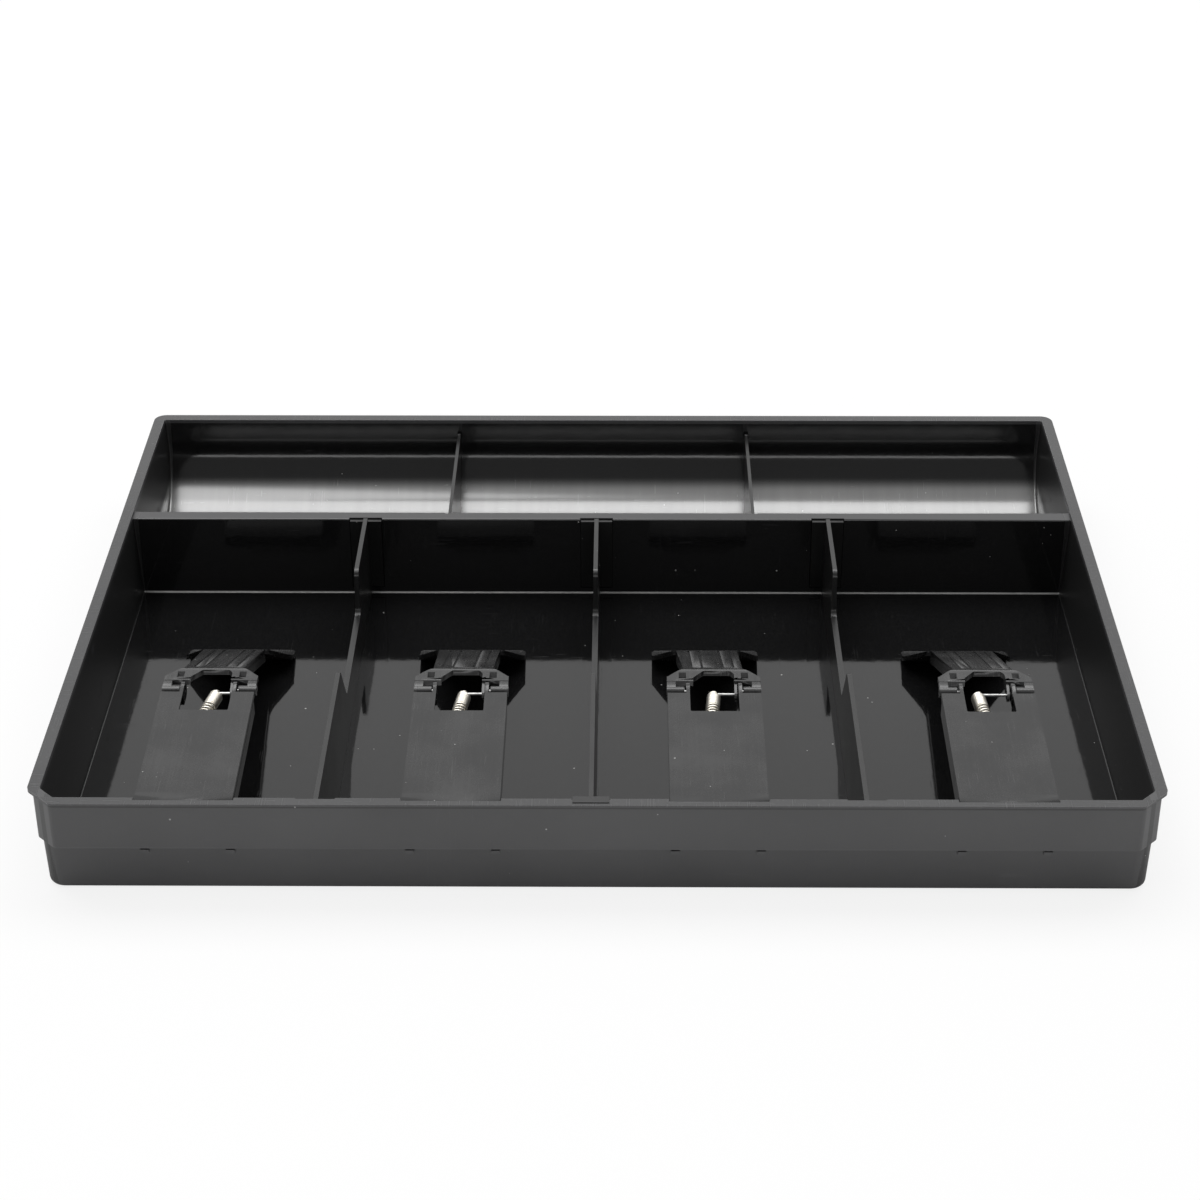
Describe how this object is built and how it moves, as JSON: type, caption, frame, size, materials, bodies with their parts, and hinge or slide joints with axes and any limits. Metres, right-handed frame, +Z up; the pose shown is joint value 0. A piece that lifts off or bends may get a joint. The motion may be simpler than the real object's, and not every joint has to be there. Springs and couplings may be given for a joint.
{
  "type": "cash register tray",
  "caption": "Shallow black cash register tray with bill wells under sprung hinged clips, lift-out dividers and scooped coin cups behind a cross wall",
  "frame": {"origin": "under the middle of the tray, on the surface it stands on", "axes": "+X along the long side to the right, +Y towards the coin cups at the rear, +Z up; the clips are fixed at the front edge, -Y"},
  "size_m": [0.325, 0.2452, 0.0353],
  "materials": {
    "black_tray_plastic": "smooth glossy injection-moulded black plastic",
    "black_divider_plastic": "smooth glossy black plastic",
    "black_clip_plastic": "satin black plastic with drawing marks",
    "pin_steel": "plain cut steel pin",
    "nickel_spring_steel": "bright nickel-plated spring wire"
  },
  "bodies": {
    "tray": {"tray_body": "black_tray_plastic", "clip_1_bridge": "black_clip_plastic", "clip_1_hinge_pin_left": "pin_steel", "clip_1_hinge_pin_right": "pin_steel", "clip_1_spring": "nickel_spring_steel", "clip_2_bridge": "black_clip_plastic", "clip_2_hinge_pin_left": "pin_steel", "clip_2_hinge_pin_right": "pin_steel", "clip_2_spring": "nickel_spring_steel", "clip_3_bridge": "black_clip_plastic", "clip_3_hinge_pin_left": "pin_steel", "clip_3_hinge_pin_right": "pin_steel", "clip_3_spring": "nickel_spring_steel", "clip_4_bridge": "black_clip_plastic", "clip_4_hinge_pin_left": "pin_steel", "clip_4_hinge_pin_right": "pin_steel", "clip_4_spring": "nickel_spring_steel"},
    "clip_1_arm": {"clip_1_flap": "black_clip_plastic", "clip_1_spring_pin": "pin_steel"},
    "clip_2_arm": {"clip_2_flap": "black_clip_plastic", "clip_2_spring_pin": "pin_steel"},
    "clip_3_arm": {"clip_3_flap": "black_clip_plastic", "clip_3_spring_pin": "pin_steel"},
    "clip_4_arm": {"clip_4_flap": "black_clip_plastic", "clip_4_spring_pin": "pin_steel"},
    "bill_divider_left": {"bill_divider_left": "black_divider_plastic"},
    "bill_divider_centre": {"bill_divider_centre": "black_divider_plastic"},
    "bill_divider_right": {"bill_divider_right": "black_divider_plastic"},
    "coin_divider_left": {"coin_divider_left": "black_divider_plastic"},
    "coin_divider_right": {"coin_divider_right": "black_divider_plastic"}
  },
  "joints": [
    {"name": "clip_1_hinge", "type": "hinge", "parent": "tray", "child": "clip_1_arm", "pos_m": [-0.11715, -0.0642, 0.0326], "axis": [1, 0, 0], "range_deg": [0, 100], "stiffness_Nm_per_rad": 0.01, "springref_deg": -22.92, "deforming": ["clip_1_spring"]},
    {"name": "clip_2_hinge", "type": "hinge", "parent": "tray", "child": "clip_2_arm", "pos_m": [-0.0412, -0.0642, 0.0326], "axis": [1, 0, 0], "range_deg": [0, 100], "stiffness_Nm_per_rad": 0.01, "springref_deg": -22.92, "deforming": ["clip_2_spring"]},
    {"name": "clip_3_hinge", "type": "hinge", "parent": "tray", "child": "clip_3_arm", "pos_m": [0.0349, -0.0642, 0.0326], "axis": [1, 0, 0], "range_deg": [0, 100], "stiffness_Nm_per_rad": 0.01, "springref_deg": -22.92, "deforming": ["clip_3_spring"]},
    {"name": "clip_4_hinge", "type": "hinge", "parent": "tray", "child": "clip_4_arm", "pos_m": [0.11685, -0.0642, 0.0326], "axis": [1, 0, 0], "range_deg": [0, 100], "stiffness_Nm_per_rad": 0.01, "springref_deg": -22.92, "deforming": ["clip_4_spring"]},
    {"name": "bill_divider_left_lift", "type": "slide", "parent": "tray", "child": "bill_divider_left", "axis": [0, 0, 1], "range_m": [0, 0.035]},
    {"name": "bill_divider_centre_lift", "type": "slide", "parent": "tray", "child": "bill_divider_centre", "axis": [0, 0, 1], "range_m": [0, 0.035]},
    {"name": "bill_divider_right_lift", "type": "slide", "parent": "tray", "child": "bill_divider_right", "axis": [0, 0, 1], "range_m": [0, 0.035]},
    {"name": "coin_divider_left_lift", "type": "slide", "parent": "tray", "child": "coin_divider_left", "axis": [0, 0, 1], "range_m": [0, 0.035]},
    {"name": "coin_divider_right_lift", "type": "slide", "parent": "tray", "child": "coin_divider_right", "axis": [0, 0, 1], "range_m": [0, 0.035]}
  ]
}
